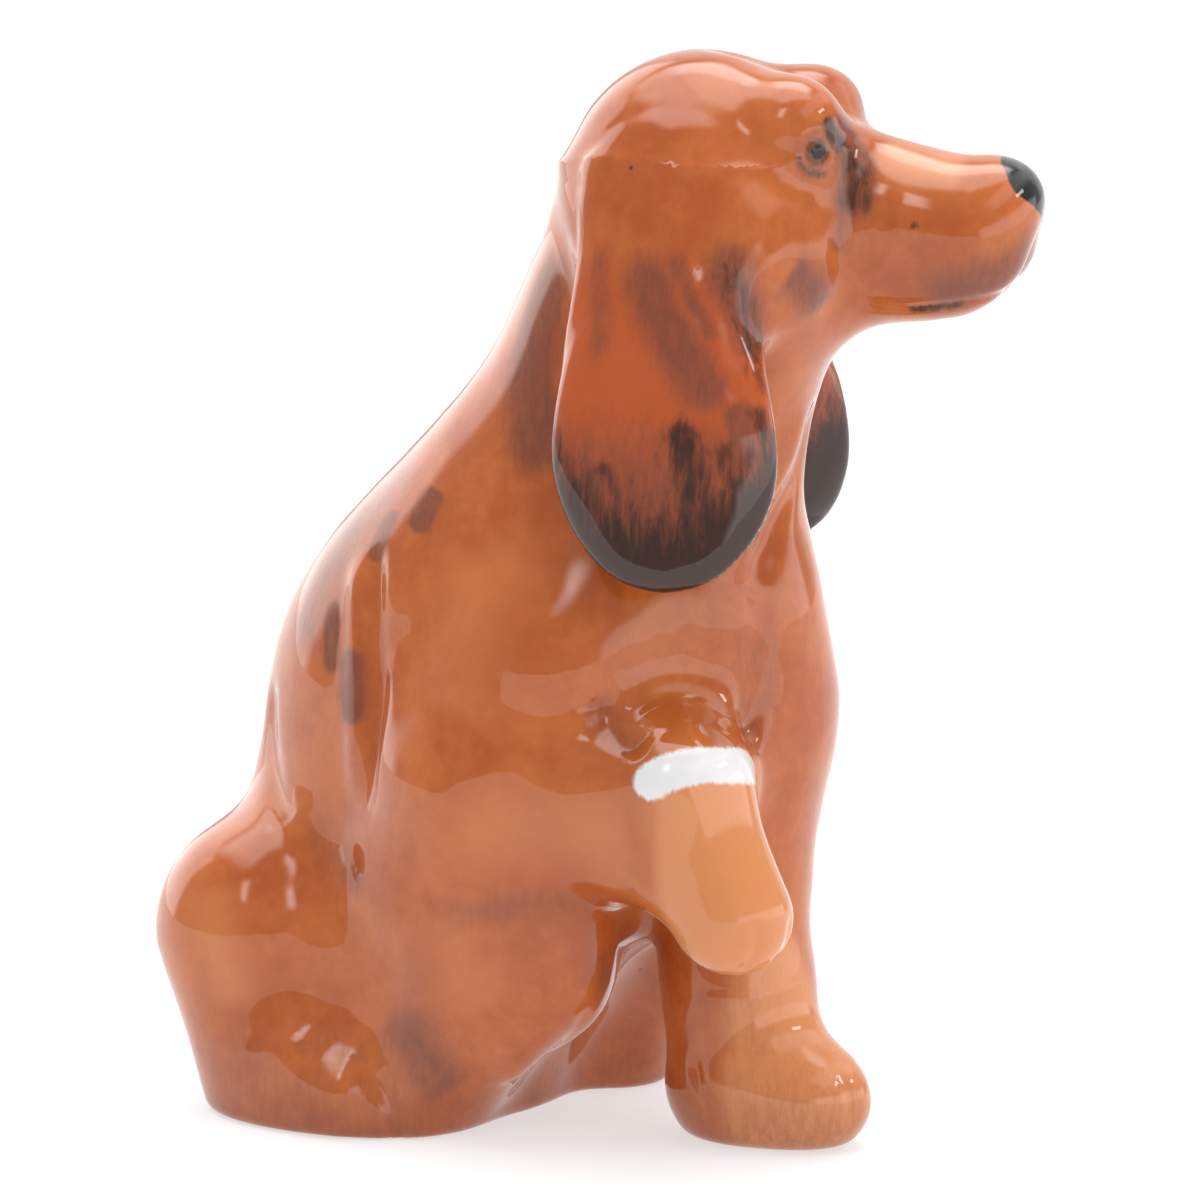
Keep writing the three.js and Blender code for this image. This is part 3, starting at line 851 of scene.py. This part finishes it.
def glaze(name):
    """Coloured glazes, painted shade and painted highlights brushed under a thick clear one."""
    material = bpy.data.materials.new(name)
    material.use_nodes = True
    n = Nodes(material.node_tree)
    shader = material.node_tree.nodes["Principled BSDF"]
    place = n.add("ShaderNodeTexCoord", out="Object")
    mm = n.scaled(place, (1000, 1000, 1000))
    streak = n.noise(n.scaled(mm, (1.5, 1.5, 0.42)), 1.0, 4.0, 0.6, 0.3)
    hairs = n.noise(n.scaled(mm, (3.2, 3.2, 0.8)), 1.0, 3.0, 0.6, 0.4)
    wisps = n.noise(n.scaled(mm, (2.1, 2.1, 0.42)), 1.0, 5.0, 0.66, 0.5)
    brush = n.math("ADD", n.math("MULTIPLY", streak, 0.45), n.math("MULTIPLY", hairs, 0.55))
    cloud = n.noise(mm, 0.16, 3.0, 0.55, 0.4)
    mottle = n.noise(mm, 0.75, 5.0, 0.62, 0.2)
    grain = n.noise(mm, 9.0, 3.0, 0.6)

    pooled = n.math("ADD", n.math("MULTIPLY", cloud, 0.6), n.math("MULTIPLY", mottle, 0.4))
    depth = n.step(pooled, 0.34, 0.66)
    colour = n.mix(depth, TAN, TAN_DEEP)
    # peach glaze on the raised paw, and painted highlights on the bulges
    peach_and_sheen_amount = n.math("MULTIPLY", n.brushed("peach_and_sheen", mottle, 0.42, 0.35), 0.85)
    colour = n.mix(peach_and_sheen_amount, colour, PEACH_GLAZE)
    colour = n.mix(n.math("MULTIPLY", n.brushed("ear", streak, 0.45, 0.70), 0.85), colour, EAR_RED)
    load = n.step(wisps, 0.24, 0.70, 0.64, 0.96)
    # umber brush marks, and painted shade in creases, hollows, along the ears' front edges, over the
    # left ear and towards the base
    colour = n.mix(n.math("MULTIPLY", n.brushed("umber_and_shade", brush, 0.46, 0.95), load), colour, UMBER_GLAZE)
    # dark brush marks and ear tips, and painted shade along the ears' front edges
    colour = n.mix(n.math("MULTIPLY", n.brushed("dark_and_shade", wisps, 0.34, 1.05), 0.95), colour, DARK_GLAZE)
    colour = n.mix(n.brushed("band", hairs, 0.10, 0.28, 0.46), colour, BAND_WHITE)
    colour = n.mix(n.brushed("nose", hairs, 0.14, 0.20), colour, NOSE_BLACK)
    # eyes: iris and pupil round two places
    for eye in dog_to_frame(np.array(EYES)):
        gap = n.math("MULTIPLY", n.add("ShaderNodeVectorMath", {0: place, 1: tuple(eye)}, out="Value",
                                       operation="DISTANCE"), 1000)
        gap = n.math("ADD", gap, n.math("MULTIPLY", n.math("SUBTRACT", hairs, 0.5), 0.35))
        colour = n.mix(n.step(gap, *IRIS_EDGE, 0, 0.85), colour, EYE_BROWN)
        colour = n.mix(n.step(gap, *PUPIL_EDGE), colour, EYE_BLACK)
    # pinholes and specks fired into the glaze
    specks = n.add("ShaderNodeTexVoronoi", {"Vector": mm, "Scale": 0.13}, out="Distance")
    colour = n.mix(n.step(specks, 0.022, 0.012, 0, 0.7), colour, DARK_GLAZE)

    n.tree.links.new(colour, shader.inputs["Base Color"])
    n.tree.links.new(n.step(grain, 0.3, 0.7, 0.34, 0.52), shader.inputs["Roughness"])
    under = n.add("ShaderNodeBump", {"Strength": 0.35, "Distance": 0.00008, "Height": hairs})
    n.tree.links.new(under, shader.inputs["Normal"])
    pits = n.math("MULTIPLY", n.step(specks, 0.02, 0.01), -0.15)
    swell = n.math("ADD", n.math("MULTIPLY", mottle, 0.8), pits)
    over = n.add("ShaderNodeBump", {"Strength": 0.12, "Distance": 0.00004, "Height": swell})
    n.tree.links.new(over, shader.inputs["Coat Normal"])
    shader.inputs["Specular IOR Level"].default_value = 0.05
    shader.inputs["Coat Weight"].default_value = 1.0
    shader.inputs["Coat Roughness"].default_value = 0.025
    shader.inputs["Coat IOR"].default_value = 1.52
    return material


GLAZES = {slot: glaze(slot + "_paint") for slot in ("body_glaze", *dict.fromkeys(SLOTS.values()))}
for label, casting in enumerate(CASTINGS):
    skin = piece(casting, quads[LABELS == label])
    skin.data.materials.append(GLAZES[SLOTS.get(casting, "body_glaze")])

# ---- Floor, light and camera ----------------------------------------------------------------------

FLOOR_RINGS, FLOOR_SPOKES = (0.05, 0.1, 0.2, 0.5, 1.2, 3.0), 96  # radii in metres
FLOOR_TONES = (0.40, 0.40, 0.40), (0.43, 0.43, 0.43)
FLOOR_GLOW = 0.60
CAMERA_AZIMUTH, CAMERA_ELEVATION = -60, 10
CAMERA_FAR = 0.5
CAMERA_AIM = Vector((0, -0.00002, 0.0312))
CAMERA_LENS = 252.75


def direction(azimuth, elevation):
    """The way from the dog to a place round it. Azimuth 0 is in front of it, 90 to its left."""
    a, e = math.radians(azimuth), math.radians(elevation)
    return Vector((math.sin(a) * math.cos(e), -math.cos(a) * math.cos(e), math.sin(e)))


def floor():
    """A disc of pale paper, in rings of quads round a middle point."""
    turns = [2 * math.pi * spoke / FLOOR_SPOKES for spoke in range(FLOOR_SPOKES)]
    places = [(0.0, 0.0, 0.0)]
    for radius in FLOOR_RINGS:
        places += [(radius * math.cos(turn), radius * math.sin(turn), 0.0) for turn in turns]
    sides = [(spoke, (spoke + 1) % FLOOR_SPOKES) for spoke in range(FLOOR_SPOKES)]
    faces = [(0, 1 + a, 1 + b) for a, b in sides]
    for ring in range(1, len(FLOOR_RINGS)):
        outer = 1 + ring * FLOOR_SPOKES
        inner = outer - FLOOR_SPOKES
        faces += [(inner + a, outer + a, outer + b, inner + b) for a, b in sides]
    shape = bpy.data.meshes.new("floor")
    shape.from_pydata(places, [], faces)
    made = bpy.data.objects.new("floor", shape)
    bpy.context.scene.collection.objects.link(made)
    material = bpy.data.materials.new("floor_paper")
    material.use_nodes = True
    n = Nodes(material.node_tree)
    shader = material.node_tree.nodes["Principled BSDF"]
    place = n.add("ShaderNodeTexCoord", out="Object")
    fibre = n.noise(place, 900.0, 4.0, 0.6)
    n.tree.links.new(n.mix(fibre, *FLOOR_TONES), shader.inputs["Base Color"])
    n.tree.links.new(n.add("ShaderNodeBump", {"Strength": 0.05, "Distance": 0.0001, "Height": fibre}),
                     shader.inputs["Normal"])
    shader.inputs["Roughness"].default_value = 0.9
    shader.inputs["Emission Color"].default_value = (1, 1, 1, 1)
    shader.inputs["Emission Strength"].default_value = FLOOR_GLOW
    shader.inputs["Specular IOR Level"].default_value = 0.1
    shape.materials.append(material)


# The studio's soft boxes: (azimuth from the camera's, elevation, half width, half height, edge,
# brightness), in degrees. An azimuth above 0 is on the camera's right.
AMBIENT = 0.45
BOXES = [
    (-160, 81, 27, 27, 12, 2.8),
    (170, 66, 18, 12, 9, 2.3),
    (-138, 16, 25, 31, 8, 2.0),
    (64, 3, 52, 12, 8, 1.75),
    (75, 50, 42, 12, 12, 1.15),
    (160, 20, 28, 23, 14, 0.6),
    (-25, 41, 4, 9, 8, 4.5),
    (79, 32, 9, 2.5, 2, 9.0),
]


def studio():
    world = bpy.data.worlds.new("studio")
    bpy.context.scene.world = world
    world.use_nodes = True
    n = Nodes(world.node_tree)
    way = n.add("ShaderNodeTexCoord", out="Generated")

    def dot(axis):
        inputs = {0: way, 1: tuple(axis)}
        return n.add("ShaderNodeVectorMath", inputs, out="Value", operation="DOT_PRODUCT")

    total = AMBIENT
    for azimuth, elevation, wide, tall, edge, bright in BOXES:
        ahead = direction(CAMERA_AZIMUTH + azimuth, elevation)
        right = direction(CAMERA_AZIMUTH + azimuth + 90, 0)
        up = ahead.cross(right).normalized()
        depth = n.math("MAXIMUM", dot(ahead), 0.001)
        box = bright
        for axis, half in ((right, wide), (up, tall)):
            slope = n.math("ABSOLUTE", n.math("DIVIDE", dot(axis), depth))
            inner = math.tan(math.radians(half - edge / 2))
            outer = math.tan(math.radians(half + edge / 2))
            box = n.math("MULTIPLY", n.step(slope, outer, inner), box)
        total = n.math("ADD", total, box)
    background = world.node_tree.nodes["Background"]
    n.tree.links.new(total, background.inputs["Strength"])
    background.inputs["Color"].default_value = (1, 1, 1, 1)


floor()
studio()
camera = bpy.data.objects.new("camera", bpy.data.cameras.new("camera"))
bpy.context.scene.collection.objects.link(camera)
camera.data.sensor_width = 36
camera.data.lens = CAMERA_LENS
back = direction(CAMERA_AZIMUTH, CAMERA_ELEVATION)
camera.location = CAMERA_AIM + back * CAMERA_FAR
camera.rotation_mode = "QUATERNION"
camera.rotation_quaternion = (-back).to_track_quat("-Z", "Y")
camera.data.clip_start, camera.data.clip_end = 0.01, 100
bpy.context.scene.camera = camera
bpy.context.scene.view_settings.view_transform = "Standard"
